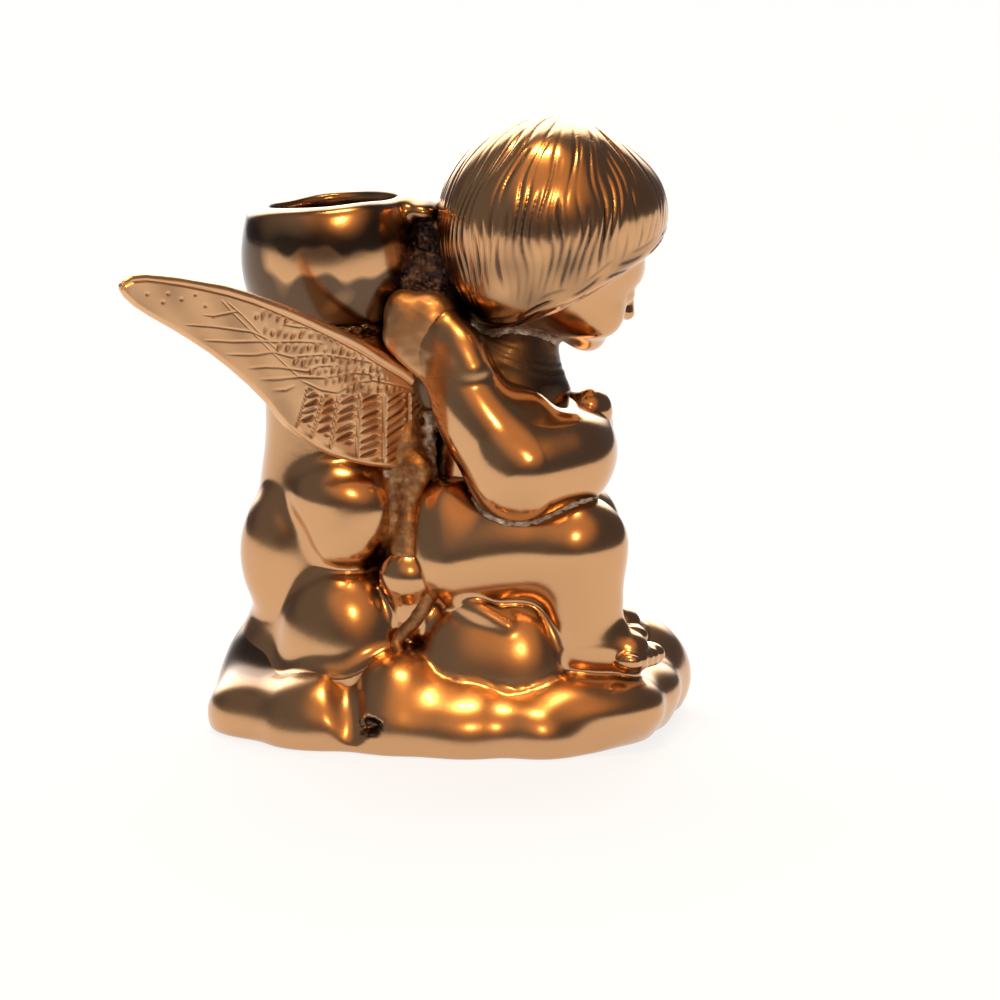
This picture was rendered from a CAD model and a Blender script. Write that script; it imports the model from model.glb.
"""Angel candle holder in polished cast brass: the looks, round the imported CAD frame.

Every round form is a field: a function of points in space that is below zero inside the brass. The forms
of one casting melt into each other, as they do in the mould, and a mesh is drawn where the field is zero.
Lengths are in millimetres in the part's own numbers until the last step, which moves them into the frame
and makes them metres.
"""
from concurrent.futures import ThreadPoolExecutor
from functools import partial
import bpy
import numpy as np
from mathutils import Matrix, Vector

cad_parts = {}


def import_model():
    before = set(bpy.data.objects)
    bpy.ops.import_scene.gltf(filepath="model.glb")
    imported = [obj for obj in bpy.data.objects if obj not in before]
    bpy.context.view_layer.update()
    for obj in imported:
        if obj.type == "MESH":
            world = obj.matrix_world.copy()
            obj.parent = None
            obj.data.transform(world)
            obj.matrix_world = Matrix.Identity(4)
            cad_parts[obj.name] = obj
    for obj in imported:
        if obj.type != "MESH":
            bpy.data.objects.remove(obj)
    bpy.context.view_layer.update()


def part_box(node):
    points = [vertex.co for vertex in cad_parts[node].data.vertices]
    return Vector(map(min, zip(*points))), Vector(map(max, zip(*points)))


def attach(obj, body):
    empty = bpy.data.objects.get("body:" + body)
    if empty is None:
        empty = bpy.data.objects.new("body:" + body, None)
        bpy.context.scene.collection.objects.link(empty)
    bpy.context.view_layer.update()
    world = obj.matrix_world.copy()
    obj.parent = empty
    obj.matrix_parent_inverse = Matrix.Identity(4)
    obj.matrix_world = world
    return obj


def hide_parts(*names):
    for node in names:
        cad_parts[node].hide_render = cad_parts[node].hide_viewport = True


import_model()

MILLIMETRE = 0.001
STEM_AXIS = -20.8
CUP_LOW, CUP_HIGH = (np.array(corner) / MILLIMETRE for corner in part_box("candle_cup"))
FRAME_SHIFT = np.array([(CUP_LOW[0] + CUP_HIGH[0]) / 2 - STEM_AXIS, 0, 0])
RIGHT, LEFT = -1, 1
SIDES = {"right": RIGHT, "left": LEFT}


def rise(value, start, width):
    """Share that is 0 up to a start and 1 from a width further on; a width below zero turns it round."""
    return np.clip((value - start) / width, 0, 1)


# Fields of the round forms

def turned(points, degrees, first, second):
    """Points turned back by an angle in the plane of two axes."""
    angle = np.radians(degrees)
    out = points.copy()
    out[:, first] = points[:, first] * np.cos(angle) + points[:, second] * np.sin(angle)
    out[:, second] = points[:, second] * np.cos(angle) - points[:, first] * np.sin(angle)
    return out


def ellipsoid(q, radii):
    """Distance to an ellipsoid round the origin: |q/r| (|q/r| - 1) / |q/r^2|."""
    scaled = q / radii
    near = np.sqrt((scaled ** 2).sum(1))
    slope = np.sqrt(((scaled / radii) ** 2).sum(1))
    return near * (near - 1) / np.maximum(slope, 1e-6)


def ball(points, middle, radii, lean=0):
    """An ellipsoid about its middle, leaned in the plane of Z and X."""
    q = points - np.asarray(middle, points.dtype)
    if lean:
        q = turned(q, lean, 2, 0)
    return ellipsoid(q, np.broadcast_to(np.asarray(radii, points.dtype), (3,)))


def pillow(points, middle, radii, power):
    """Distance to a form fuller than an ellipsoid: (F - 1) / |slope of F| with F = (sum |q/r|^n)^(1/n)."""
    q = np.abs(points - np.asarray(middle, points.dtype)) / np.asarray(radii, points.dtype)
    whole = np.maximum((q ** power).sum(1), 1e-9) ** (1 / power)
    slope = (q / whole[:, None]) ** (power - 1) / np.asarray(radii, points.dtype)
    return (whole - 1) / np.maximum(np.sqrt((slope ** 2).sum(1)), 1e-6)


def smooth_path(stations, steps=5):
    """Points on a Catmull-Rom curve through the stations, each with its radius as a fourth number."""
    knots = np.asarray(stations, float)
    knots = np.vstack([2 * knots[0] - knots[1], knots, 2 * knots[-1] - knots[-2]])
    t = (np.arange(steps) / steps)[:, None]
    spans = []
    for a, b, c, d in zip(knots, knots[1:], knots[2:], knots[3:]):
        spans.append(0.5 * (2 * b + (c - a) * t + (2 * a - 5 * b + 4 * c - d) * t ** 2
                            + (3 * b - a - 3 * c + d) * t ** 3))
    return np.vstack([*spans, knots[-2:-1]])


def curve_place(knots, t):
    """Place, speed and bend of the Catmull-Rom curve at each parameter."""
    span = np.clip(t.astype(int), 0, len(knots) - 4)
    t = (t - span)[:, None].astype(knots.dtype)
    a, b, c, d = (knots[span + i] for i in range(4))
    one, two, three = c - a, 2 * a - 5 * b + 4 * c - d, 3 * b - a - 3 * c + d
    place = 0.5 * (2 * b + one * t + two * t * t + three * t ** 3)
    return place, 0.5 * (one + 2 * two * t + 3 * three * t * t), 0.5 * (2 * two + 6 * three * t)


def rope(points, stations, steps=4):
    """Distance to a round limb: distance to the nearest place on its curve less the radius there. The
    nearest place is looked for on short straight stretches first and then made exact by two Newton steps."""
    knots = np.asarray(stations, points.dtype)
    knots = np.vstack([2 * knots[0] - knots[1], knots, 2 * knots[-1] - knots[-2]])
    path = smooth_path(stations, steps).astype(points.dtype)
    least = np.full(len(points), 1e9, points.dtype)
    t = np.zeros(len(points), points.dtype)
    for i, (a, b) in enumerate(zip(path, path[1:])):
        along = b[:3] - a[:3]
        share = np.clip((points - a[:3]) @ along / max(along @ along, 1e-9), 0, 1)
        away = points - a[:3] - share[:, None] * along
        distance = np.sqrt((away ** 2).sum(1)) - a[3] - share * (b[3] - a[3])
        nearer = distance < least
        t = np.where(nearer, (i + share) / steps, t)
        least = np.minimum(least, distance)
    for _ in range(2):
        place, speed, bend = curve_place(knots, t)
        away = points - place[:, :3]
        pull = (away * speed[:, :3]).sum(1)
        pace = (speed[:, :3] ** 2).sum(1)
        stiff = np.maximum(pace - (away * bend[:, :3]).sum(1), 0.3 * pace)
        t = np.clip(t + np.clip(pull / np.maximum(stiff, 1e-9), -1 / steps, 1 / steps), 0, len(stations) - 1)
    place = curve_place(knots, t)[0]
    return np.sqrt(((points - place[:, :3]) ** 2).sum(1)) - place[:, 3]


def melt(reach, *fields):
    """Smooth least of several fields: min(a, b) - h^2 reach / 4 with h = max(reach - |a - b|, 0) / reach."""
    whole = fields[0]
    for field in fields[1:]:
        h = np.maximum(reach - np.abs(whole - field), 0) / reach
        whole = np.minimum(whole, field) - h * h * reach / 4
    return whole


def cut(reach, whole, *tools):
    """What is left of a field outside each tool, with the edge rounded by the reach."""
    return -melt(reach, -whole, *tools)


def flowed(reach, own, other):
    """A casting whose foot flows into another: their melt, kept only where its own form is near."""
    return np.maximum(melt(reach, own, other + 0.05), own - reach + 0.1)


# Meshes drawn on a field

def grid_values(field, low, counts, step):
    """The field on a grid, closed at the grid's sides. Blocks of four steps whose middle lies far from
    the surface take that middle's value."""
    block = 4
    middles = [low[i] + step * (np.arange(counts[i] // block) * block + (block - 1) / 2) for i in range(3)]
    coarse_points = np.stack(np.meshgrid(*middles, indexing="ij"), -1).reshape(-1, 3).astype(np.float32)
    coarse = field(coarse_points)
    near = np.abs(coarse) < step * block * 1.5
    shape = [len(m) for m in middles]
    values = coarse.reshape(shape).repeat(block, 0).repeat(block, 1).repeat(block, 2)
    corner = np.argwhere(near.reshape(shape)) * block
    inner = np.stack(np.meshgrid(*[np.arange(block)] * 3, indexing="ij"), -1).reshape(-1, 3)
    places = (corner[:, None, :] + inner[None, :, :]).reshape(-1, 3)
    exact = field((low + places * step).astype(np.float32))
    values[tuple(places.T)] = exact
    for axis in range(3):
        ends = np.moveaxis(values, axis, 0)
        ends[[0, 1, -2, -1]] = np.maximum(ends[[0, 1, -2, -1]], 0.5 * step)
    return values


def drawn(field, low, high, step):
    """Closed mesh where the field is zero: one point in each cube of the grid that the surface crosses,
    at the mean of the crossings on its edges, and one face round each grid edge that crosses the surface."""
    low = np.asarray(low, float) - 3 * step
    counts = [int(np.ceil((high[i] + 3 * step - low[i]) / step / 4)) * 4 for i in range(3)]
    values = grid_values(field, low, counts, step)
    inside = values < 0
    held = sum(inside[i:i + counts[0] - 1, j:j + counts[1] - 1, k:k + counts[2] - 1].astype(np.int8)
               for i, j, k in np.ndindex(2, 2, 2))
    mixed = (held > 0) & (held < 8)
    cells = np.argwhere(mixed)
    number = np.full(mixed.shape, -1, np.int64)
    number[mixed] = np.arange(len(cells))
    total, crossings = np.zeros((len(cells), 3)), np.zeros(len(cells))
    for axis in range(3):
        others = [a for a in range(3) if a != axis]
        for corner in np.ndindex(2, 2):
            start = cells.copy()
            start[:, others] += corner
            end = start.copy()
            end[:, axis] += 1
            a, b = values[tuple(start.T)], values[tuple(end.T)]
            crossed = (a < 0) != (b < 0)
            place = start.astype(float)
            place[:, axis] += np.where(crossed, a / np.where(crossed, a - b, 1), 0)
            total += place * crossed[:, None]
            crossings += crossed
    points = low + step * total / crossings[:, None]
    faces = []
    for axis in range(3):
        one, two = (axis + 1) % 3, (axis + 2) % 3
        first = np.take(inside, range(counts[axis] - 1), axis)
        second = np.take(inside, range(1, counts[axis]), axis)
        edges = np.argwhere(first != second)
        edges = edges[(edges[:, one] > 0) & (edges[:, two] > 0)]
        edges = edges[(edges[:, one] < counts[one] - 1) & (edges[:, two] < counts[two] - 1)]
        outward = first[tuple(edges.T)]
        corners = []
        for back in ((1, 1), (0, 1), (0, 0), (1, 0)):
            cell = edges.copy()
            cell[:, [one, two]] -= back
            corners.append(number[tuple(cell.T)])
        quads = np.stack(corners, 1)
        quads[~outward] = quads[~outward][:, ::-1]
        faces.append(quads)
    return points, np.vstack(faces)


TETRA = np.array([(1, 1, 1), (1, -1, -1), (-1, 1, -1), (-1, -1, 1)], np.float32)


def slopes(field, points, reach=0.05):
    """The field's value, its slope and the slope made one long, from its values at the corners of a small
    tetrahedron round each point: slope = 3/4 sum of corner times value / reach^2."""
    points = points.astype(np.float32)
    values = [field(points + reach * corner) for corner in TETRA]
    slope = sum(value[:, None] * corner for value, corner in zip(values, TETRA)) / (4 * reach)
    return sum(values) / 4, slope, slope / np.maximum(np.linalg.norm(slope, axis=1), 1e-6)[:, None]


def settled(field, points, faces, rounds=2):
    """Points evened out towards the mean of their neighbours, then moved onto the surface: p - f g / |g|^2
    with the field's value f and its slope g."""
    ends = np.concatenate([faces[:, [0, 1]], faces[:, [1, 2]], faces[:, [2, 3]], faces[:, [3, 0]]])
    ends = np.concatenate([ends, ends[:, ::-1]])
    count = np.maximum(np.bincount(ends[:, 0], minlength=len(points)), 1)
    for _ in range(rounds):
        mean = np.stack([np.bincount(ends[:, 0], points[ends[:, 1], axis], len(points)) / count
                         for axis in range(3)], 1)
        points = points + 0.5 * (mean - points)
        value, slope, _unit = slopes(field, points)
        steepness = np.maximum((slope ** 2).sum(1), 0.05)
        points = points - np.clip(value / steepness, -0.3, 0.3)[:, None] * slope
    return points


# Roughness of form: hand finishing and grit

draws = np.random.default_rng(12)


def wave_set(count, shortest, longest):
    """Directions, starts and lengths of plane waves that are summed into an uneven surface."""
    ways = draws.normal(size=(count, 3))
    ways /= np.linalg.norm(ways, axis=1)[:, None]
    lengths = draws.uniform(shortest, longest, count)
    return (ways * (2 * np.pi / lengths)[:, None]).astype(np.float32), draws.uniform(0, 2 * np.pi, count)


SWELL = wave_set(9, 9, 24)
GRIT = wave_set(14, 0.7, 2.2)


def waves(points, which, height):
    """Sum of sines of the points along each way, scaled to a height."""
    ways, starts = which
    total = np.zeros(len(points), np.float32)
    for way, start in zip(ways, starts):
        total += np.sin(points @ way + start)
    return total * (height / np.sqrt(len(ways)))


# The cloud

def base_lobe(points, middle, reach, top, girth, undercut):
    """A lobe that is widest at its girth: an ellipsoid with one height above it and another below it."""
    q = points - np.array([middle[0], middle[1], girth], points.dtype)
    height = np.where(q[:, 2] > 0, top - girth, undercut).astype(points.dtype)
    return ellipsoid(q, np.stack([np.full_like(height, reach[0]), np.full_like(height, reach[1]), height], 1))


# Each lobe of the base: its middle, its reach along X and Y, its top, its girth and how far it is undercut
BASE_LOBES = [
    ((-1, 0), (37, 29.5), 12, 3.5, 9.4), ((-18.2, -16.6), (12.5, 12.8), 13.3, 2.5, 9),
    ((-30, -9.5), (10.6, 12.5), 11.6, 3, 9), ((-24.7, 0), (16, 15), 22.5, 6, 9.4),
    ((-24.9, 14), (12.6, 12.5), 15, 6, 9.4),
    ((-4.6, -16.8), (11.5, 13.8), 16.3, 2.2, 10), ((7, -17.6), (11.5, 13.2), 12.8, 2.2, 10),
    ((19.5, -16), (9.5, 13), 11.4, 3, 9), ((25.2, -10.6), (13.2, 12.4), 13.2, 6.5, 8),
    ((24.5, 4), (14.2, 13), 13.4, 7, 8.4), ((25.7, 18), (12, 12), 17.5, 6, 9.4),
    ((-3, 19), (14, 12), 16, 6, 9.4), ((13, 19), (11, 11.5), 13.5, 6, 9.4),
]
BASE_PIT = (-8.0, -30.0, 5.0)
PIT_RADII = (2.2, 2.6, 1.3)
BASE_VALLEY = [(-14.5, -18.5, 14.5, 1.2), (-12.6, -26.4, 9.5, 1.2), (-11.2, -29.8, 4.5, 1.2)]
MOUND, MOUND_RADII = (8.5, 0, 14.5), (14.5, 16.5, 13.5)
WIDE_HOLLOW, MOUND_HOLLOW = (31.4, 24.9, 9.4), (9, 10.5, 22.8)
LEAF_FOLD = [(2.9, -15.4, 24.6, 1.2), (8, -17.8, 23.0, 1.9), (13.2, -19.2, 20.9, 0.8)]


def base_skin(points):
    """The cloud base: lobes melted into each other, the mound with the swell under each thigh, and a rough
    crease between the two."""
    lobes = melt(4.0, *[base_lobe(points, *lobe) for lobe in BASE_LOBES])
    mound = ball(points, MOUND, MOUND_RADII)
    seat = [pillow(points, (9.6, side * 6.2, 1.0), (15.4, 17.4, 25.2), 2.8) for side in (RIGHT, LEFT)]
    swell = melt(1.8, melt(3.0, mound, *seat), rope(points, LEAF_FOLD))
    rough = np.exp(-((lobes - swell) / 0.6) ** 2) * waves(points, GRIT, 0.07)
    return melt(1.0, lobes, swell) + waves(points, SWELL, 0.2) + rough


def base_hollow(points):
    """The hollow under the base: a wide dome on the table, and a narrow one up into the mound."""
    return np.minimum(ball(points, (0, 0, 0), WIDE_HOLLOW), ball(points, (MOUND[0], 0, 0), MOUND_HOLLOW))


def base_field(points):
    """The base stands on its rim: nothing below the table, and a hollow cut from under it."""
    skin = cut(3.6, base_skin(points), rope(points, BASE_VALLEY))
    skin = cut(0.6, skin, ball(points, BASE_PIT, PIT_RADII, -12) + waves(points, GRIT, 0.25))
    return cut(0.8, cut(1.2, skin, points[:, 2]), base_hollow(points))


def stem_field(points):
    """The cloud stem: a round column with puffs that cling to it."""
    column = rope(points, [(STEM_AXIS, 0, 18, 14.5), (STEM_AXIS, 0, 36, 13.4), (STEM_AXIS, 0, 48, 12.3),
                           (STEM_AXIS, 0, 57.3, 12.0)])
    radius = np.hypot(points[:, 0] - STEM_AXIS, points[:, 1])
    collar = np.maximum(radius - 12.1, np.abs(points[:, 2] - 63.4) - 6.3)
    collar = melt(0.8, collar, np.hypot(radius - 12.4, points[:, 2] - 69.2) - 0.9 + waves(points, GRIT, 0.2))
    puffs = []
    for side in (RIGHT, LEFT):
        puffs.append(melt(3, ball(points, (STEM_AXIS + 4, side * 8.25, 39.2), (10.6, 9, 8.4), 22),
                          ball(points, (STEM_AXIS + 4.6, side * 9, 33.5), (7, 8, 6.5))))
        puffs.append(ball(points, (STEM_AXIS + 4.8, side * 9.75, 14.6), (12.4, 10.8, 15.2), -8))
        puffs.append(melt(2.0, ball(points, (STEM_AXIS + 16.0, side * 14.4, 27.8), (5.2, 4.8, 5.0), 24),
                          ball(points, (STEM_AXIS + 16.6, side * 12.2, 21.5), (5.2, 5.0, 5.0), 20)))
    puffs.append(ball(points, (STEM_AXIS - 6.7, -5, 29.8), (8.4, 9, 13.2)))
    puffs.append(ball(points, (STEM_AXIS - 6.2, 6, 29), (8.4, 9, 10)))
    whole = melt(1.4, melt(2.0, column, collar), *puffs) + waves(points, SWELL, 0.16)
    return flowed(2.6, whole, base_skin(points))


# The candle cup

CUP_SEAT, RIM_HEIGHT, BORE_RADIUS, CUP_FLOOR = 69.8, 89.8, 11.0, 72.8
CUP_MIDDLE, CUP_BELLY, CUP_CURVE = 80.6, 15.9, 19.5
RIM_SLOPE = 0.0875
SPIGOT_RADIUS, SPIGOT_MIDDLE, SPIGOT_HALF = 4, 67.5, 3.6


def cup_field(points):
    """A lathe form: distance in the plane of radius and height to a bellied wall, less the bore."""
    radius = np.hypot(points[:, 0] - STEM_AXIS, points[:, 1])
    lean = (points[:, 0] - STEM_AXIS) * RIM_SLOPE
    height = points[:, 2]
    wall = (np.hypot(radius / CUP_BELLY, np.abs(height - CUP_MIDDLE) / CUP_CURVE) - 1) * CUP_BELLY
    top = height - (RIM_HEIGHT + lean)
    solid = -melt(1.8, -wall, -top)
    solid = -melt(0.8, -solid, height - CUP_SEAT) + waves(points, SWELL, 0.16)
    bore = np.maximum(radius - BORE_RADIUS, CUP_FLOOR - height)
    spigot = np.maximum(radius - SPIGOT_RADIUS, np.abs(height - SPIGOT_MIDDLE) - SPIGOT_HALF)
    bridge = ball(points, (-4.9, 0, 88.4), (4.2, 6.0, 2.2), 8)
    return np.minimum(melt(2.0, cut(1.4, solid, bore), bridge), spigot)


# The cherub

HEAD = np.array([16.1, 0, 86.1])
HEAD_TURN = 20


def lump(points, side):
    """The lump behind the shoulder, which carries the root of the wing: widest low down, so it looks
    upwards."""
    under = points[:, 2] - 59.2 + 0.77 * points[:, 0]
    knob = cut(2.0, pillow(points, (-4.0, side * 9.0, 61.5), (6.2, 6.6, 14.2), 3.0), under)
    return melt(2.0, knob, ball(points, (-7.4, side * 8.6, 72.6), (2.2, 4.4, 3.0)),
                ball(points, (-0.6, side * 9.8, 71), (3.6, 4.6, 4.0))) + waves(points, GRIT, 0.03)


def torso_field(points):
    """Trunk, chest, neck and nape, with a shoulder blade and a lump on each side."""
    trunk = rope(points, [(5.7, 0, 28.8, 9.5), (5.2, 0, 39.2, 10.5), (5.2, 0, 49.2, 10.5),
                          (6.2, 0, 55.3, 10.5), (7.2, 0, 61.3, 9)])
    chest = ball(points, (11, 0, 55.3), (9.4, 9.5, 9))
    neck = rope(points, [(9.2, 0, 58.5, 9.4), (11.0, 0, 64, 7.2), (12.2, 0, 69, 5.6)])
    nape = ball(points, (-0.5, 0, 65.8), (7.5, 9.5, 9))
    whole = melt(2.4, trunk, chest, neck, nape)
    for side in (RIGHT, LEFT):
        whole = melt(2.0, whole, ball(points, (-1.5, side * 7, 60.5), (6, 5.5, 7)))
        whole = melt(1.2, whole, lump(points, side))
    return whole + waves(points, SWELL, 0.16)


def head_axes(points):
    """Points in the head's own axes, with its middle as the origin and the face along the first axis."""
    return turned(points - HEAD.astype(points.dtype), HEAD_TURN, 0, 1)


CROWN = np.array([3.3, 1.4, 18.6])
CROWN /= np.linalg.norm(CROWN)
CROWN_SIDE = np.cross(CROWN, (0, 1, 0))
CROWN_SIDE /= np.linalg.norm(CROWN_SIDE)
STRANDS = 40
SCALP_RADIUS = 19
STROKE_END = 2.35
STROKE_WIDTH = 0.3
STRAND_DEPTH = draws.uniform(0.45, 1.0, 2 * STRANDS)
STRAND_START = draws.uniform(0.25, 0.95, 2 * STRANDS)
STRAND_SWAY = draws.uniform(-0.5, 0.5, 2 * STRANDS)
HAIR_DEPTH = 0.36


def strand_groove(q):
    """Depth of the engraving of the hair: strokes that fan out from the crown, each with its own start,
    depth and sway, at twice as many bearings further down as close to the crown."""
    away = q / np.maximum(np.linalg.norm(q, axis=1), 1e-3)[:, None]
    drop = np.arccos(np.clip(away @ CROWN, -1, 1))
    bearing = np.arctan2(away @ np.cross(CROWN, CROWN_SIDE), away @ CROWN_SIDE) + np.pi
    bearing = bearing + 0.05 * np.sin(3.1 * drop + 2.3 * bearing) + 0.02 * np.sin(7.3 * drop + 9 * bearing)
    place = bearing / (2 * np.pi) * 2 * STRANDS
    number = np.floor(place).astype(int) % (2 * STRANDS)
    sway = 0.22 * np.sin(4.1 * drop + 9 * STRAND_SWAY[number])
    spacing = 2 * np.pi * np.sin(drop) * SCALP_RADIUS / (2 * STRANDS)
    across = (place - np.floor(place) - 0.5 - sway * 0.5) * spacing
    spent = np.clip((STROKE_END - drop + 0.5 * STRAND_SWAY[number]) / 0.2, 0, 1)
    start = np.where(number % 3 == 0, 0.1, STRAND_START[number] + 0.5 * (number % 3 == 2))
    begun = rise(drop, start, 0.14)
    broken = 0.72 + 0.5 * np.sin(5.3 * drop + 17 * STRAND_SWAY[number])
    stroke = np.exp(-np.abs(across / STROKE_WIDTH) ** 1.5)
    return HAIR_DEPTH * stroke * begun * spent * STRAND_DEPTH[number] * np.clip(broken, 0.15, 1)


HEM_ANGLE, HEM_DROP = 27, 12.6


def hem_height(q):
    """Height above the lower edge of the hair, square to it."""
    lean = np.radians(HEM_ANGLE)
    return (q[:, 2] + HEM_DROP) * np.cos(lean) - q[:, 0] * np.sin(lean)


def hair_strokes(q):
    """Depth of all strokes in the hair: those from the crown, and a few along its lower edge."""
    height = hem_height(q)
    strokes = strand_groove(q) * rise(height, 2.2, 3)
    for level, reach in ((0.7, 0.28), (1.9, 0.2), (3.1, 0.12)):
        wander = level + 0.5 * np.sin(q[:, 0] * 0.55 + 5 * level) - height
        strokes = np.maximum(strokes, reach * np.exp(-(wander / 0.24) ** 2)
                             * np.clip(0.5 + np.sin(q[:, 0] * 0.8 + 9 * level), 0, 1))
    return strokes


def hair_field(q):
    """Hair like a bowl: crown, fringe and nape melted together, cut off at the hem and engraved."""
    hair = melt(4.0, ball(q, (0, 0, 0), (18.8, 18, 19)), ball(q, (9.6, 0, 2.6), (10.2, 13.4, 9.6)),
                ball(q, (-2, 0, -8.5), (14, 14, 10)))
    return -melt(1.6, -hair, hem_height(q)) + hair_strokes(q)


FACE_TILT = 25
FACE = np.array([5.5, 0, -9.6])


def face_field(q):
    """A calm infant's face: a round skull with cheeks, chin, brow, nose, closed eyelids and lips."""
    f = turned(q - FACE.astype(q.dtype), -FACE_TILT, 0, 2)
    skull = melt(2.5, ball(f, (0, 0, 0), (8.4, 10.4, 10.2)), ball(f, (3.2, 0, 5.2), (6.0, 8.6, 5.6)))
    cheeks = [ball(f, (3.9, side * 4.9, -3.2), (4.5, 4.4, 4.4)) for side in (RIGHT, LEFT)]
    chin = ball(f, (4.5, 0, -7.4), (3.5, 3.8, 3.1))
    skull = melt(2.2, skull, *cheeks, chin)
    for side in (RIGHT, LEFT):
        skull = cut(1.6, skull, ball(f, (9.9, side * 3.4, 1.9), (1.7, 2.3, 1.5)))
    parts = [rope(f, [(8.0, 0, 2.4, 0.9), (8.9, 0, 0.4, 1.0), (9.5, 0, -1.4, 1.35)])]
    for side in (RIGHT, LEFT):
        parts.append(ball(f, (8.5, side * 1.25, -1.9), 0.85))
        parts.append(ball(f, (7.1, side * 3.35, 1.5), (1.75, 2.0, 1.5)))
    skull = melt(1.0, skull, *parts)
    upper = rope(f, [(7.3, -2.2, -4.5, 0.4), (8.3, -0.7, -4.1, 0.6),
                     (8.3, 0.7, -4.1, 0.6), (7.3, 2.2, -4.5, 0.4)])
    lower = ball(f, (7.9, 0, -5.3), (0.9, 1.6, 0.65))
    return melt(0.5, skull, melt(0.15, upper, lower))


def head_field(points):
    """Hair over a skull with its face."""
    q = head_axes(points)
    skull = ball(q, (-1, 0, 0), (16.8, 16.8, 17.8))
    return melt(0.8, hair_field(q), melt(2.0, skull, face_field(q))) + waves(points, SWELL, 0.06)


ELBOW = {RIGHT: (14.9, -14.2, 46.6), LEFT: (10.4, 14.2, 46.6)}


def shoulder_fold(points, side):
    """The fold that runs down from the lump behind the shoulder and ends round above the upper arm."""
    return rope(points, [(1.3, side * 12.2, 70.0, 2.8), (4.3, side * 14.4, 66.9, 3.6),
                         (6.5, side * 15.8, 63.4, 3.5)])


def arm_field(points, side):
    """A plump arm: shoulder to elbow, elbow to wrist across the knees; the left one ends in a fist."""
    elbow = ELBOW[side]
    radius = 8.8 if side == RIGHT else 8.0
    upper = rope(points, [(2.4, side * 11.2, 65.5, 5.6), (7.4, side * 13.8, 55.5, 7.4), (*elbow, radius)])
    inner = ball(points, (elbow[0] - 2.4, elbow[1] - side * 3.2, elbow[2] + 6.9), (7.5, 6, 7))
    if side == RIGHT:
        lower = rope(points, [(*elbow, radius), (elbow[0] + 6.3, elbow[1] + 5, elbow[2] + 1.5, 8.3),
                              (elbow[0] + 5.9, elbow[1] + 15, elbow[2] + 4.9, 6.4)])
        parts = [upper, lower, inner]
    else:
        wrist = (elbow[0] + 10.4, elbow[1] - 11.5, elbow[2] + 6.6)
        lower = rope(points, [(*elbow, radius), (elbow[0] + 3.2, elbow[1] - 4, elbow[2] + 2, 7.2),
                              (*wrist, 4.8)])
        fist = ball(points, (wrist[0] + 2.6, wrist[1] - 3.6, wrist[2] + 1.6), (4.0, 4.2, 4.2))
        parts = [upper, lower, inner, fist]
    whole = melt(1.6, melt(2.6, *parts), lump(points, side) + 0.05)
    behind = points - np.array((-4.2, side * 9, 68.2), points.dtype)
    beyond = behind @ np.array((-0.6, 0, 0.8), points.dtype)
    whole = melt(1.2, np.maximum(whole, beyond), shoulder_fold(points, side))
    return whole + waves(points, SWELL, 0.16)


KNEE = {RIGHT: (23.1, -11.5, 33.6), LEFT: (17.4, 11.5, 32.8)}
HIP = {RIGHT: (3.5, -10.5, 30.8), LEFT: (1.25, 10.5, 30.8)}


def leg_field(points, side):
    """A plump bent leg: thigh, shin and a small foot with its toes."""
    hip, knee = HIP[side], KNEE[side]
    ankle = (knee[0] + 1.9, knee[1], 17.5)
    middle = [(a + b) / 2 for a, b in zip(hip, knee)]
    thigh = rope(points, [(*hip, 9.5), (middle[0], middle[1], middle[2] + 0.6, 9.3), (*knee, 8.6)])
    shin = rope(points, [(knee[0] - 0.2, knee[1], knee[2] - 1, 8.2), (ankle[0] - 0.6, ankle[1], 24.6, 7.0),
                         (*ankle, 5.8)])
    foot = rope(points, [(ankle[0] - 2, ankle[1], 16.3, 4.8), (ankle[0] + 3.2, ankle[1], 16.4, 4.6),
                         (ankle[0] + 7.2, ankle[1], 15.7, 3.8)])
    toes = []
    for i, place in enumerate((2, 1, 0, -1, -2)):
        size = 2.15 - i * 0.18
        toes.append(ball(points, (ankle[0] + 10 - 0.5 * i, ankle[1] - side * place * 1.9, 14.9),
                         (size + 0.8, size, size)))
    haunch = ball(points, (1.8, side * 9.8, 37), (7.4, 7.6, 7.6))
    whole = melt(0.5, melt(3.0, melt(3.0, thigh, haunch), shin, foot), *toes) + waves(points, SWELL, 0.12)
    return flowed(1.6, whole, base_skin(points))


# The wings, drawn in their own plane: s runs from the root to the tip and z is height

TOP_EDGE = [(-2, 58.4), (0, 60.2), (4.9, 63.9), (8.8, 66.2), (12.8, 68.5), (17.7, 70.9), (22.5, 73.1),
            (28.3, 75.5), (34, 77.7), (38.8, 79.2), (43.5, 80.3), (47.3, 81.1), (51, 81.7), (54, 82.1),
            (56.4, 82.0), (57.9, 81.4), (58.5, 80.9), (58.7, 80.3)]
LOW_EDGE = [(-2, 45.3), (0.6, 45.2), (5, 45.7), (10.9, 46.7), (14.8, 47.8), (18.7, 49.2), (21.7, 50.7),
            (24.6, 52.6), (27.5, 54.8), (29.2, 56.7), (30.9, 58.9), (34.2, 62.1), (38, 65.3), (41.7, 68.1),
            (45.5, 70.6), (49.3, 72.9), (53, 75.0), (55.8, 76.8), (57.6, 78.4), (58.4, 79.5), (58.7, 80.3)]
WING_HALF = 1.1
ROOT_PAST, WING_LENGTH = -2, 60.7
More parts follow.
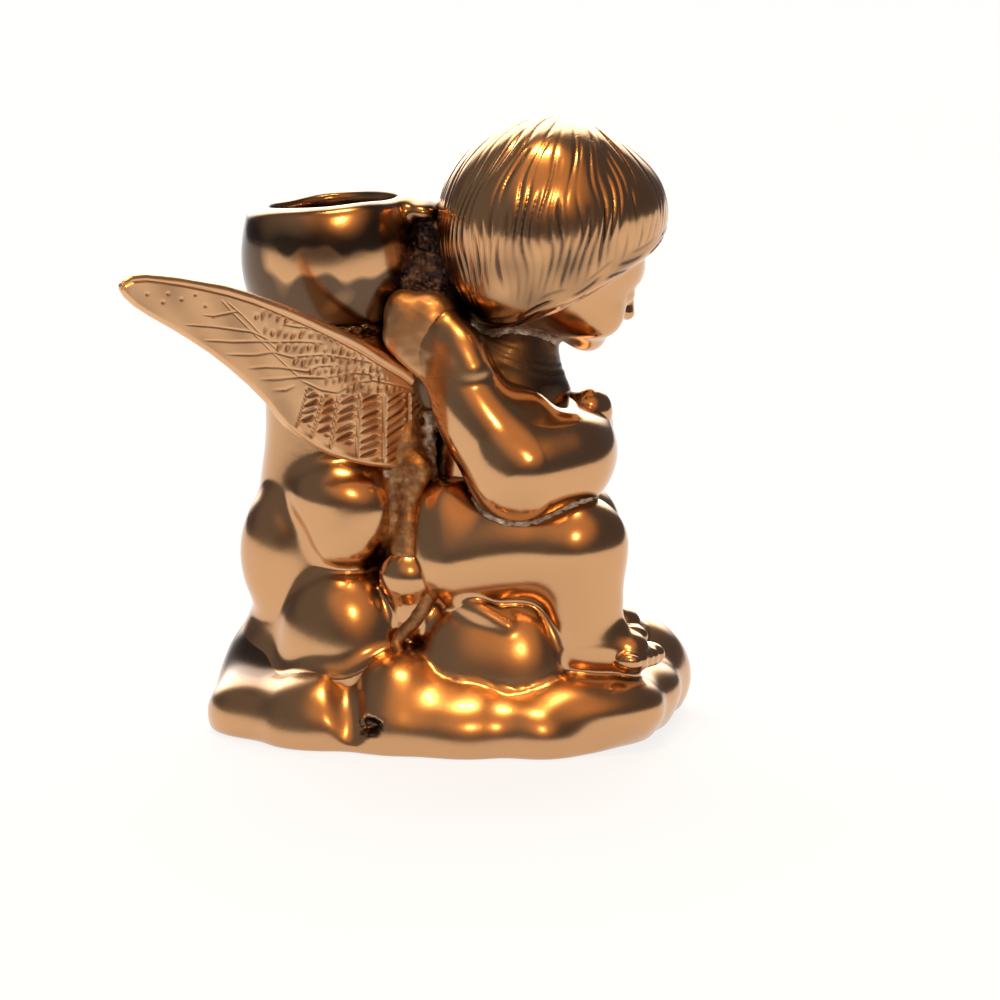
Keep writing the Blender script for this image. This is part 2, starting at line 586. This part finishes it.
TICK_ROWS = [
    [(21.5, 71.6), (25.2, 72.4), (27.3, 72.5), (30.6, 73.9), (34.1, 73.9)],
    [(17.0, 68.9), (21.6, 69.9), (25.2, 69.9), (28.8, 70.4), (32.4, 71.4)],
    [(11.8, 65.7), (14.4, 66.2), (19.1, 66.9), (22.3, 67.8), (26.7, 67.9), (30.6, 68.7)],
    [(12.0, 64.6), (16.5, 65.1), (20.9, 65.8), (23.8, 65.5), (26.9, 65.9)],
    [(9.0, 62.9), (14.4, 63.1), (16.2, 63.5), (20.6, 63.6), (24.4, 63.9)],
    [(8.0, 61.3), (13.3, 62.2), (18.0, 62.1), (21.2, 62.0)],
    [(5.0, 59.6), (8.9, 59.6), (13.3, 60.5), (17.2, 60.3)],
]
FEATHER_LINES = [
    [(30.2, 69.3), (34.5, 71.3), (40.9, 72.5), (47.2, 73.4)],
    [(20.5, 68.4), (25.2, 69.0), (30.2, 69.3), (33.1, 69.6), (38.1, 69.9), (43.4, 70.5)],
    [(10.7, 64.4), (17.3, 65.8), (20.5, 66.5), (26.7, 66.5), (30.3, 67.6), (33.8, 67.4), (39.5, 67.9)],
    [(17.3, 64.5), (21.6, 64.6), (23.8, 63.9), (28.8, 64.9), (31.7, 65.2), (35.6, 65.3)],
    [(10.0, 62.3), (14.4, 62.9), (20.6, 62.6), (25.3, 63.1), (28.9, 63.0), (33.1, 63.2)],
    [(25.8, 61.8), (27.8, 61.1), (30.7, 61.2)],
    [(3.4, 59.4), (10.7, 61.4), (14.4, 61.2), (18.0, 59.9), (21.0, 60.6), (25.3, 62.6)],
    [(36.5, 74.9), (41.6, 74.4), (44.0, 74.8)],
    [(17.5, 70.4), (21.6, 71.0), (25.2, 71.4), (28.8, 72.2)],
    [(2.5, 61.6), (7.0, 64.2), (12.0, 67.2), (17.5, 70.2)],
]
COVERT_LINES = [[(40.0, 76.9), (38.0, 74.8), (35.2, 72.1), (30.6, 67.7), (25.3, 63.0)],
                [(38.7, 76.4), (35.9, 74.0), (32.4, 70.4), (28.8, 67.3)]]
CEILING = [(0, 58.6), (4, 58.8), (8.5, 59.0), (13.3, 59.4), (17.4, 59.5), (20.6, 59.8), (24, 61.4),
           (26, 61.0)]
COLUMNS = [(0.4, 0.5), (3.7, 3.8), (8.5, 8.9), (13.3, 14.1), (17.4, 19.4), (20.6, 23.2), (23.8, 26.4)]
BARB_DEPTH = 0.4
BARB_SLANTS = (0.62, 0.5, 0.32, 0.3, 0.14, 0.06)
TIP_DOTS = [(50.2, 78.7), (47.7, 77.6), (45.1, 78.2), (51.2, 77.4), (41.6, 74.4), (54.0, 78.9), (43.2, 76.2)]


def stroke(s, z, ends, width):
    """A cut that is deepest along the line between two ends and dies away towards them."""
    (s0, z0), (s1, z1) = ends
    length = np.hypot(s1 - s0, z1 - z0)
    along = ((s - s0) * (s1 - s0) + (z - z0) * (z1 - z0)) / length ** 2
    across = ((z - z0) * (s1 - s0) - (s - s0) * (z1 - z0)) / length
    held = np.clip(np.minimum(along, 1 - along) * length / 0.8 + 0.3, 0, 1)
    return np.exp(-(across / width) ** 2) * held


def ticks(s, z, row):
    """A row of short slanting cuts, each with its own length, lean, width and depth."""
    ends, levels = np.transpose(row)
    spacing = 1.5
    count = np.floor(s / spacing)
    centre = (count + 0.5 + 0.16 * np.sin(count * 5.3 + levels[0])) * spacing
    middle = np.interp(centre, ends, levels) + 0.2 * np.sin(count * 2.1 + levels[0])
    tall = 0.6 + 0.2 * np.sin(count * 3.7 + levels[0] * 2)
    up = (z - middle) / tall
    lean = 0.45 + 0.2 * np.sin(count * 7.1)
    across = (s - centre + lean * (z - middle)) / np.maximum(0.22 + 0.1 * up, 0.08)
    inside = rise(s, ends[0], 0.6) * rise(s, ends[-1], -0.6)
    return np.exp(-across ** 2 - up ** 2) * inside * (0.75 + 0.3 * np.sin(count * 4.7 + levels[-1]))


def barbs(s, z, across, number):
    """Slanting strokes across one hanging feather, thick near its right side and tapered to the left."""
    spacing = 1.42 + 0.1 * np.sin(number * 2.3)
    phase = (z + BARB_SLANTS[number] * s + 0.25 * np.sin(2.4 * across + number)) / spacing + 0.3 * number
    beat = np.floor(phase)
    gap = (phase - beat - 0.5 - 0.1 * np.sin(beat * 4.1 + number)) * spacing
    begin = 0.14 + 0.05 * np.sin(beat * 3.3 + number)
    tapered = rise(across, 0.93, -0.55) ** 0.6
    thick = 0.36 * rise(across, begin, 0.16) * tapered + 0.02
    strong = 0.8 + 0.25 * np.sin(beat * 2.7 + 3 * number)
    return strong * np.exp(-np.abs(gap / thick) ** 2.5) * np.clip(thick / 0.12, 0, 1)


def wing_cuts(s, z, low):
    """Depth of the engraving on a wing's front, and the slope of its hanging feathers, which lie on each
    other like shingles: barbs across them, rows of short cuts above them, long feathers out to the tip,
    and dots near it."""
    depth, step = np.zeros_like(s), np.zeros_like(s)
    ceiling = np.interp(s, *np.transpose(CEILING))
    share = np.clip((ceiling - z) / np.maximum(ceiling - low, 1), 0, 1)
    hung = rise(z, ceiling, -0.5) * rise(z - low, 0.9, 0.6)
    for number, (right, left) in enumerate(zip(COLUMNS, COLUMNS[1:])):
        edge_right = right[0] + (right[1] - right[0]) * share
        edge_left = left[0] + (left[1] - left[0]) * share
        across = (s - edge_right) / (edge_left - edge_right)
        within = (across >= 0) & (across < 1)
        step += np.where(within, 0.34 * (across - 0.5), 0) * hung
        reach = hung * np.clip((z - low - 2.6 + 2.2 * (number < 3)) / 0.6, 0, 1)
        depth = np.maximum(depth, BARB_DEPTH * barbs(s, z, across, number) * within * reach)
        depth = np.maximum(depth, 0.3 * np.exp(-((s - edge_left) / 0.14) ** 2) * hung)
    for row in TICK_ROWS:
        depth = np.maximum(depth, 0.36 * ticks(s, z, row))
    for line in FEATHER_LINES:
        ends, levels = np.transpose(line)
        inside = rise(s, ends[0], 1.5) * rise(s, ends[-1], -2.5)
        depth = np.maximum(depth, 0.13 * np.exp(-((z - np.interp(s, ends, levels)) / 0.13) ** 2) * inside)
    for line in COVERT_LINES:
        for ends in zip(line, line[1:]):
            depth = np.maximum(depth, 0.09 * stroke(s, z, ends, 0.11))
    for s0, z0 in TIP_DOTS:
        depth = np.maximum(depth, 0.16 * np.exp(-((s - s0) ** 2 + (z - z0) ** 2) / 0.06))
    return depth, step


def wing_grid(side):
    """A wing as rings of points round its section, for shares 0 to 1 of the way from root to tip. A ring
    goes up the front, over the round front edge, down the back and under the thin lower edge."""
    rows, front, back = 380, 150, 26
    share = np.linspace(0, 1, rows)
    s = ROOT_PAST + WING_LENGTH * (1 - (1 - share) ** 1.5)
    top = np.interp(s, *np.transpose(TOP_EDGE))
    low = np.interp(s, *np.transpose(LOW_EDGE))
    high = top - low
    rod = np.minimum(np.interp(s, [-2, 10, 30, 50, 58], [1.5, 1.45, 1.05, 0.75, 0.6]), high / 2)
    hem = np.minimum(0.7, high / 3)
    thick = WING_HALF * np.sqrt(np.clip(1 - rise(s, 56.9, 1.8) ** 2, 0, 1))
    ring = [(low + hem * (1 - np.cos(k)), thick * np.sin(k)) for k in np.linspace(0, np.pi / 2, 8)[:-1]]
    ring += [(low + hem + (high - hem - 2 * rod) * k, thick) for k in np.linspace(0, 1, front)]
    ring += [(top - rod - rod * np.cos(k), np.maximum(rod * np.sin(k), thick * np.cos(k)))
             for k in np.linspace(0, np.pi, 22)[1:-1]]
    ring += [(top - rod * 0.5 - (high - hem - rod * 0.5) * k, -thick) for k in np.linspace(0, 1, back)]
    ring += [(low + hem * (1 - np.cos(k)), -thick * np.sin(k)) for k in np.linspace(np.pi / 2, 0, 6)[1:-1]]
    z, w = np.transpose(ring, (1, 2, 0))
    s_all = np.repeat(s[:, None], z.shape[1], 1)
    depth, step = wing_cuts(s_all.ravel(), z.ravel(), np.repeat(low, z.shape[1]))
    plain_front = (w > 0) * rise(w, thick[:, None] * 0.9, 0.1)
    depth, step = depth.reshape(z.shape) * plain_front, step.reshape(z.shape) * plain_front
    on_rod = z > (top - 2 * rod)[:, None]
    depth = np.where(on_rod, 0, depth)
    along, front_way, root = wing_axes(side)
    swell = 0.12 * np.sin(s_all * 0.35 + z * 0.21) + 0.08 * np.sin(s_all * 0.8 - z * 0.5)
    w = w - depth + np.where(on_rod, 0, step) + np.where(w > 0, swell, 0) * rise(w, 0, WING_HALF)
    foot, up = np.array([root[0], root[1], 0]), np.array([0, 0, 1.0])
    points = foot + s_all[..., None] * along + z[..., None] * up + w[..., None] * front_way
    return points, depth


def ring_faces(rows, around, flip):
    """Faces between neighbouring rings of points, turned over where flip is set."""
    first = np.arange(rows - 1)[:, None] * around + np.arange(around)[None, :]
    second = np.arange(rows - 1)[:, None] * around + (np.arange(around)[None, :] + 1) % around
    quads = np.stack([first, second, second + around, first + around], -1).reshape(-1, 4)
    return quads[:, ::-1] if flip else quads


def wing_mesh(side):
    """Points and faces of a wing. The ring at the root is closed by a ring drawn in to its middle, and the
    tip's ring is a point already."""
    points, depth = wing_grid(side)
    middle = points[:1].mean(1, keepdims=True).repeat(points.shape[1], 1)
    points = np.concatenate([middle, points])
    depth = np.concatenate([depth[:1] * 0, depth])
    faces = ring_faces(points.shape[0], points.shape[1], side == LEFT)
    return points.reshape(-1, 3), faces, depth.ravel()


def wing_axes(side):
    """The wing's own axes: along it, out of its front face, and the foot of its root."""
    along = np.array([-np.sqrt(0.5), side * np.sqrt(0.5), 0])
    front = np.array([np.sqrt(0.5), side * np.sqrt(0.5), 0])
    root = np.array([5.2, 0, 45.2]) + 12.0 * along
    return along, front, root


# Braze: rough metal in the seams between the castings

def seam(points, first, second, reach, spare=0.7, rough=0.14):
    """Fillet between two fields: their melt, kept only close to both and hardly inside either of them."""
    body = melt(reach, first, second) + 0.9 * rough + waves(points, GRIT, rough)
    limits = [body, first - 0.8 * reach, second - 0.8 * reach, -first - spare, -second - spare]
    return np.maximum.reduce(limits)


def neck_braze_field(points):
    """A thin fillet round the neck, under the hair."""
    return seam(points, head_field(points), torso_field(points), 1.7, rough=0.06)


def cup_braze_field(points):
    """The cup is joined to the back of the head and to the shoulders by one rough run of metal."""
    bead = rope(points, [(-3.9, 0, 86.6, 1.8), (-2.8, 0, 82, 2.6), (-1.6, 0, 77.5, 3.4), (-6, 0, 73.5, 3.6)])
    wide = ball(points, (-3.2, 0, 76), (4.2, 7.5, 6.5))
    first = np.minimum(head_field(points), torso_field(points))
    second = cup_field(points)
    body = melt(3.5, np.minimum(bead, wide), melt(4, first, second) + 0.2) + waves(points, GRIT, 0.2)
    limits = [body, ball(points, (-3, 0, 77), (7.5, 10.5, 11)), -first - 0.9, -second - 0.9]
    return np.maximum.reduce(limits)


def back_braze_field(points):
    """Webs of braze that fill the gap between the cherub's back and the stem, with a strip that runs down
    each side to a puff and a run below it."""
    first = np.minimum.reduce([torso_field(points), leg_field(points, RIGHT), leg_field(points, LEFT)])
    fillet = seam(points, first, np.minimum(stem_field(points), base_field(points)), 4.0, 1.0)
    fillet = np.maximum(fillet, ball(points, (-5, 0, 44), (9, 14.2, 24)))
    webs = [pillow(points, (-6.6, 0, 42), (4.4, 13.6, 18), 3.0),
            pillow(points, (-4.4, 0, 27), (5.0, 13.8, 11), 3.0)]
    runs = [rope(points, [(-1.4, side * 14.2, 29, 1.0), (-1.4, side * 15.6, 24.6, 1.5),
                          (-3.2, side * 16.6, 20.8, 1.4), (-6.0, side * 17.4, 17.6, 1.2),
                          (-5.2, side * 18.8, 15.0, 0.9)]) for side in (RIGHT, LEFT)]
    strips = [rope(points, [(-3.2, side * 12.8, 46, 2.2), (-4.6, side * 14.2, 40.5, 1.2),
                            (-4.6, side * 15.0, 36.5, 1.7), (-4.8, side * 14.6, 32.5, 3.0)])
              for side in (RIGHT, LEFT)]
    body = melt(2.4, *webs, *runs, *strips) + waves(points, SWELL, 0.2) + waves(points, GRIT, 0.06)
    return melt(1.0, fillet, body)


def arm_braze_field(points, side):
    """A thin fillet between an arm and the thigh under it."""
    return seam(points, arm_field(points, side), leg_field(points, side), 1.0, rough=0.08)


def wing_braze_field(points, side):
    """A rough bar down the wing's root, with a run under its lower edge."""
    along, front, root = wing_axes(side)

    def at(s, z, w, radius):
        """A station of a rope, given in the wing's own axes."""
        return (*(np.array([root[0], root[1], z]) + s * along + w * front), radius)

    bar = rope(points, [at(0.1, 44.8, 1.3, 1.3), at(0.1, 52, 1.6, 1.2), at(-0.3, 60.4, 1.9, 1.3)])
    run = rope(points, [at(-0.8, 44.4, 0.2, 1.5), at(3.5, 44.6, -0.2, 1.1), at(8, 45.3, -0.4, 0.7)])
    back = rope(points, [at(-1.2, 45.5, -1.2, 1.6), at(-1.2, 59, -1.2, 1.4)])
    return melt(1.2, bar, run, back) + waves(points, GRIT, 0.2)


def placed(name, points, faces, nodes, slot_name, material, **values):
    """A mesh object in metres at the frame's origin, which rides on the root and replaces CAD nodes."""
    mesh = bpy.data.meshes.new(name)
    mesh.vertices.add(len(points))
    mesh.vertices.foreach_set("co", ((points + FRAME_SHIFT) * MILLIMETRE).astype(np.float32).ravel())
    mesh.loops.add(faces.size)
    mesh.loops.foreach_set("vertex_index", faces.astype(np.int32).ravel())
    mesh.polygons.add(len(faces))
    mesh.polygons.foreach_set("loop_start", np.arange(0, faces.size, faces.shape[1], dtype=np.int32))
    mesh.polygons.foreach_set("loop_total", np.full(len(faces), faces.shape[1], np.int32))
    mesh.update(calc_edges=True)
    mesh.validate()
    mesh.polygons.foreach_set("use_smooth", np.ones(len(mesh.polygons), bool))
    for key, value in values.items():
        layer = mesh.attributes.new(key, "FLOAT", "POINT")
        layer.data.foreach_set("value", value.astype(np.float32))
    piece = bpy.data.objects.new(name, mesh)
    bpy.context.scene.collection.objects.link(piece)
    mesh.materials.append(material)
    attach(piece, "root")
    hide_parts(*nodes)


ROOM = 1.5


def box_of(node):
    """Lowest and highest corners of a node in the part's own numbers, with room for what stands proud."""
    low, high = (np.array(corner) / MILLIMETRE - FRAME_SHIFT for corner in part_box(node))
    return low - ROOM, high + ROOM


FIELDS = {"cloud_base": base_field, "cloud_stem": stem_field, "candle_cup": cup_field,
          "cherub_torso": torso_field, "cherub_head": head_field}
for word, side in SIDES.items():
    FIELDS[word + "_arm"] = partial(arm_field, side=side)
    FIELDS[word + "_leg"] = partial(leg_field, side=side)

# Each casting with the step of the grid that its mesh is drawn on
CASTINGS = {"cloud_base": 0.55, "cloud_stem": 0.45, "candle_cup": 0.45, "cherub_torso": 0.45,
            "cherub_head": 0.27, "right_arm": 0.4, "left_arm": 0.4, "right_leg": 0.4, "left_leg": 0.4}
BOXES = {name: box_of(name) for name in CASTINGS}
ARM_LUMP_ROOM = 4
for name in ("right_arm", "left_arm"):
    BOXES[name][0][0] -= ARM_LUMP_ROOM


def shelter(points, normals):
    """How much brass stands close over a point: the mean for two reaches of 1 - d / reach, where d is the
    distance to brass from the place at that reach over the point."""
    total = np.zeros(len(points))
    for reach in (1.2, 3.5):
        place = (points + normals * reach).astype(np.float32)
        least = np.full(len(points), reach, np.float32)
        for name, (low, high) in BOXES.items():
            close = ((place > low - reach) & (place < high + reach)).all(1)
            if close.any():
                least[close] = np.minimum(least[close], FIELDS[name](place[close]))
        total += np.clip(1 - least / reach, 0, 1.5) / 2
    return total


# Finishes

def feed(tree, node, values):
    """Each named socket of a node gets its value, or a link from another node's output."""
    for socket, value in values.items():
        if isinstance(value, bpy.types.NodeSocket):
            tree.links.new(value, node.inputs[socket])
        else:
            node.inputs[socket].default_value = value


def added(tree, kind, values=None, output=0, **settings):
    """An output of a new shader node that has its settings, values and links."""
    node = tree.nodes.new("ShaderNode" + kind)
    for key, setting in settings.items():
        setattr(node, key, setting)
    feed(tree, node, values or {})
    return node.outputs[output]


def new_material(name):
    """A material, its node tree and its shader."""
    material = bpy.data.materials.new(name)
    material.use_nodes = True
    return material, material.node_tree, material.node_tree.nodes["Principled BSDF"]


def noise_on(tree, **values):
    """Noise that stays where it is on a piece."""
    return added(tree, "TexNoise", {"Vector": added(tree, "TexCoord", output="Object"), **values}, "Fac")


def bump_of(tree, height, strength, distance):
    """The slope of fine unevenness."""
    return added(tree, "Bump", {"Strength": strength, "Distance": distance, "Height": height})


PATINA = (0.12, 0.07, 0.04)
WING_PATINA = (0.22, 0.12, 0.075)
SATIN_ROUGHNESS = 0.3


def brass(name, tint, roughness, bare=(0.45, 1.1), coat=0.0, patina=PATINA):
    """Metal with its tint, a darker patina where the shelter attribute is high, less polish where the satin
    attribute is high, and fine unevenness."""
    material, tree, shader = new_material(name)
    sheltered = added(tree, "Attribute", output="Fac", attribute_name="shelter")
    level = added(tree, "MapRange", {"Value": sheltered, "From Min": bare[0], "From Max": bare[1]})
    colours = {"Factor": level, "A": (*tint, 1), "B": (*patina, 1)}
    rough = added(tree, "MapRange", {"Value": noise_on(tree, Scale=110, Detail=5),
                                     "To Min": roughness * 0.75, "To Max": roughness * 1.35})
    unpolished = added(tree, "Attribute", output="Fac", attribute_name="satin")
    duller = {0: unpolished, 1: SATIN_ROUGHNESS, 2: rough}
    feed(tree, shader, {
        "Metallic": 1, "Coat Weight": coat, "Coat Roughness": 0.08,
        "Base Color": added(tree, "Mix", colours, "Result", data_type="RGBA"),
        "Roughness": added(tree, "Math", duller, operation="MULTIPLY_ADD"),
        "Normal": bump_of(tree, noise_on(tree, Scale=900, Detail=3), 0.25, 0.00004),
    })
    return material


def gritty(name, colours, places=(0.36, 0.5, 0.6, 0.72), metal=0.75):
    """Braze that was left rough: dark scale, bare metal and pale specks of flux, by a fine noise."""
    material, tree, shader = new_material(name)
    noise = noise_on(tree, Scale=420, Detail=6, Roughness=0.7)
    colour = added(tree, "ValToRGB", {"Fac": noise}, "Color")
    steps = colour.node.color_ramp.elements
    steps[0].position, steps[0].color = places[0], (*colours[0], 1)
    steps[1].position, steps[1].color = places[3], (*colours[3], 1)
    for place, tone in zip(places[1:3], colours[1:3]):
        steps.new(place).color = (*tone, 1)
    feed(tree, shader, {"Metallic": metal, "Roughness": 0.5, "Base Color": colour,
                        "Normal": bump_of(tree, noise, 0.6, 0.0002)})
    return material


polished = brass("polished_brass", (0.62, 0.345, 0.165), 0.16, coat=0.25)
engraved = brass("engraved_brass", (0.78, 0.47, 0.25), 0.36, bare=(0.1, 1.0), patina=WING_PATINA)
dark_grit = gritty("dark_braze", [(0.035, 0.022, 0.028), (0.07, 0.045, 0.05), (0.11, 0.075, 0.07),
                                  (0.75, 0.7, 0.68)], (0.4, 0.56, 0.66, 0.74))
grey_grit = gritty("grey_braze", [(0.15, 0.10, 0.07), (0.36, 0.27, 0.21), (0.55, 0.47, 0.4),
                                  (0.8, 0.77, 0.74)])
copper_grit = gritty("copper_braze", [(0.24, 0.12, 0.06), (0.38, 0.2, 0.09), (0.5, 0.28, 0.13),
                                      (0.62, 0.42, 0.26)], metal=1)
PATCHES = wave_set(8, 6, 15)


def oxide(node, points):
    """Dark oxide that isn't due to shelter: in the strokes of the hair and as a veil low in it, in
    patches on the candle cup round a wavy band that is left bare, at the top of the stem, on the neck and
    beside the wings, on the lump behind each shoulder, and in the pit and at the back end of the base."""
    points = points.astype(np.float32)
    x, _y, z = points.T
    if node == "cherub_head":
        q = head_axes(points)
        veil = np.clip(0.4 - 0.06 * q[:, 2], 0, 0.68) * rise(hem_height(q), 0, 1.5)
        return 1.9 * hair_strokes(q) + veil * (1 + waves(points, PATCHES, 0.15))
    if node == "candle_cup":
        above = z - CUP_MIDDLE - 0.7 * np.sin(x * 0.55) - 0.4 * np.sin(x * 1.3)
        band = np.exp(-(above / 2.2) ** 4) * rise(x, -31, 5)
        level = 1.25 + waves(points, PATCHES, 0.2) - 1.2 * band - 0.55 * rise(z, 84, 4)
        return np.clip(level, 0, 1.2)
    if node == "cloud_stem":
        return np.clip((z - 67) / 2, 0, 0.9)
    if node == "cherub_torso":
        beside_wing = rise(z, 62.5, -1.5) * rise(x, 1, -1.5)
        return 1.1 * np.maximum(rise(z, 57, 3) * rise(x, 4, 3), beside_wing)
    if node in ("right_arm", "left_arm"):
        on_lump = rise(z, 60, 4) * rise(x, 3, -3)
        return 0.62 * on_lump * (1 + waves(points, PATCHES, 0.2))
    if node == "cloud_base":
        pit = np.clip(1.2 - 1.6 * ball(points, BASE_PIT, PIT_RADII) + waves(points, GRIT, 0.4), 0, 1.2)
        return np.maximum(pit, 1.1 * rise(x, -22, -8) * rise(z, 6, 5))
    return 0


def satin(node, points):
    """Where a casting was left as it came from the mould and reflects less sharply."""
    x, _y, z = points.T
    if node == "cherub_torso":
        return 0.8 * rise(z, 57, 5)
    if node in ("right_arm", "left_arm"):
        return 0.45 * rise(z, 59, 5) * rise(x, 11, -4)
    return np.full(len(z), 0.3 if node == "cloud_base" else 0.1)


def casting(node):
    """Points, faces, patina and dullness of one casting."""
    low, high = BOXES[node]
    field = FIELDS[node]
    points, faces = drawn(field, low, high, CASTINGS[node])
    points = settled(field, points, faces)
    _value, _slope, normals = slopes(field, points)
    return points, faces, shelter(points, normals) + oxide(node, points), satin(node, points)


with ThreadPoolExecutor(4) as pool:
    for node, (points, faces, sheltered, dull) in zip(CASTINGS, pool.map(casting, CASTINGS)):
        placed("shown_" + node, points, faces, [node], "polished_brass", polished,
               shelter=sheltered, satin=dull)

for word, side in SIDES.items():
    points, faces, depth = wing_mesh(side)
    along, _front, root = wing_axes(side)
    root_shade = 1.5 * np.clip(1.4 - (points - root) @ along, 0, 1)
    placed(f"shown_{word}_wing", points, faces, [f"{word}_wing"], "engraved_brass", engraved,
           shelter=depth / BARB_DEPTH + root_shade)

BRAZES = {"neck_braze": (neck_braze_field, grey_grit), "cup_braze": (cup_braze_field, dark_grit),
          "back_braze": (back_braze_field, copper_grit)}
for part, braze_field in (("arm", arm_braze_field), ("wing", wing_braze_field)):
    for word, side in SIDES.items():
        BRAZES[f"{word}_{part}_braze"] = (partial(braze_field, side=side), grey_grit)
BRAZE_STEP = 0.3
BRAZE_ROOM = {"back_braze": (7, 9, 13), "right_arm_braze": (9, 4, 8), "left_arm_braze": (9, 4, 8)}
BRAZE_BOXES = {name: box_of(name) for name in BRAZES}


def bead(node):
    """Points and faces of one braze."""
    low, high = BRAZE_BOXES[node]
    room = np.array(BRAZE_ROOM.get(node, (ROOM, ROOM, ROOM)))
    return drawn(BRAZES[node][0], low - room, high + room, BRAZE_STEP)


with ThreadPoolExecutor(4) as pool:
    for node, (points, faces) in zip(BRAZES, pool.map(bead, BRAZES)):
        placed("shown_" + node, points, faces, [node], "braze", BRAZES[node][1])


# The studio

FLOOR_HALF, FLOOR_FRONT = 4.0, 0.55
FLOOR_GLOW, GLOW_SHARE = 1.04, 0.8
FLOOR_COLOUR, FLOOR_ROUGHNESS = (0.85, 0.84, 0.82, 1), 0.8


def floor():
    """A pale table that ends in front of the object, below the camera. Most of what is seen of it,
    straight or in the brass, is a steady white."""
    mesh = bpy.data.meshes.new("floor")
    corners = [(-FLOOR_HALF, -FLOOR_FRONT, 0), (FLOOR_HALF, -FLOOR_FRONT, 0), (FLOOR_HALF, FLOOR_HALF, 0),
               (-FLOOR_HALF, FLOOR_HALF, 0)]
    mesh.from_pydata(corners, [], [(0, 1, 2, 3)])
    plane = bpy.data.objects.new("floor", mesh)
    bpy.context.scene.collection.objects.link(plane)
    material, tree, shader = new_material("pale_floor")
    feed(tree, shader, {"Base Color": FLOOR_COLOUR, "Roughness": FLOOR_ROUGHNESS})
    path = added(tree, "LightPath").node.outputs
    seen = added(tree, "Math", {0: path["Is Camera Ray"], 1: path["Is Glossy Ray"]}, operation="MAXIMUM")
    seen = added(tree, "Math", {0: seen, 1: path["Is Transmission Ray"]}, operation="MAXIMUM")
    share = added(tree, "Math", {0: seen, 1: GLOW_SHARE}, operation="MULTIPLY")
    glow = added(tree, "Emission", {"Color": (1, 1, 1, 1), "Strength": FLOOR_GLOW})
    mix = added(tree, "MixShader", {"Fac": share, 1: shader.outputs[0], 2: glow})
    feed(tree, tree.nodes["Material Output"], {"Surface": mix})
    mesh.materials.append(material)


def glow_towards(tree, direction, edges, colour, strength):
    """World light of one colour that rises smoothly as the direction nears a middle one."""
    away = np.array(direction, float)
    away /= np.linalg.norm(away)
    place = added(tree, "TexCoord", output="Generated")
    nearness = added(tree, "VectorMath", {0: place, 1: away}, "Value", operation="DOT_PRODUCT")
    level = added(tree, "MapRange", {"Value": nearness, "From Min": edges[0], "From Max": edges[1],
                                     "To Max": strength}, interpolation_type="SMOOTHSTEP")
    return added(tree, "Background", {"Color": (*colour, 1), "Strength": level})


# Each glow of the studio: its direction, where it starts and is full, its colour and its strength
WINDOW = ((-0.27, 0.78, 0.52), (0.78, 0.92), (1, 0.99, 0.95), 4.0)
GREY_WALL = ((-0.7, -0.5, 0.5), (0.6, 0.95), (1, 1, 0.95), 0.09)
WARM_FRONT = ((0.2, -0.6, 0.75), (0.7, 0.98), (1, 0.5, 0.16), 0.62)
ROOM_LIGHT = (0.095, 0.09, 0.10, 1)


def world():
    """A dim room, with a bright window behind the object, a grey wall on its left and a warm glow before
    it."""
    studio = bpy.data.worlds.new("studio")
    studio.use_nodes = True
    tree = studio.node_tree
    base = tree.nodes["Background"]
    feed(tree, base, {"Color": ROOM_LIGHT, "Strength": 1})
    whole = base.outputs[0]
    for glow in (WINDOW, GREY_WALL, WARM_FRONT):
        whole = added(tree, "AddShader", {0: whole, 1: glow_towards(tree, *glow)})
    feed(tree, tree.nodes["World Output"], {"Surface": whole})
    bpy.context.scene.world = studio


def aimed(name, data, place, way):
    """A lamp or camera at a place, looking along a way."""
    held = bpy.data.objects.new(name, data)
    held.location = place
    held.rotation_mode = "QUATERNION"
    held.rotation_quaternion = Vector(way).to_track_quat("-Z", "Y")
    bpy.context.scene.collection.objects.link(held)
    return held


WARM = (1, 0.6, 0.22)
LAMP_SIZE = 0.1
LAMP_AIM = (0, 0, 0.05)


def lamp(name, place, power):
    """A soft square lamp of warm light that looks at the middle of the object."""
    light = bpy.data.lights.new(name, "AREA")
    light.size = LAMP_SIZE
    light.energy = power
    light.color = WARM
    aimed(name, light, place, Vector(LAMP_AIM) - Vector(place))


AZIMUTH, ELEVATION, DISTANCE = 12, 9.2, 1000
TARGET = (7.867, 0, 39.038)
SENSOR, LENS = 36, 211.76


def camera():
    """The photograph's view: from the cherub's right, a little to the front and a little above."""
    azimuth, elevation = np.radians(AZIMUTH), np.radians(ELEVATION)
    level = np.cos(elevation)
    back = np.array([np.sin(azimuth) * level, -np.cos(azimuth) * level, np.sin(elevation)])
    target = np.array(TARGET) + FRAME_SHIFT
    lens = bpy.data.cameras.new("camera")
    lens.sensor_width = SENSOR
    lens.lens = LENS
    place = (target + DISTANCE * back) * MILLIMETRE
    bpy.context.scene.camera = aimed("camera", lens, place, -back)


floor()
world()
lamp("warm_one", (-0.09, -0.16, 1.3), 3.6)
lamp("warm_two", (0.08, -0.16, 1.3), 3.6)
lamp("warm_three", (0.3, -0.9, 0.7), 2.2)
camera()
bpy.context.scene.view_settings.view_transform = "Standard"
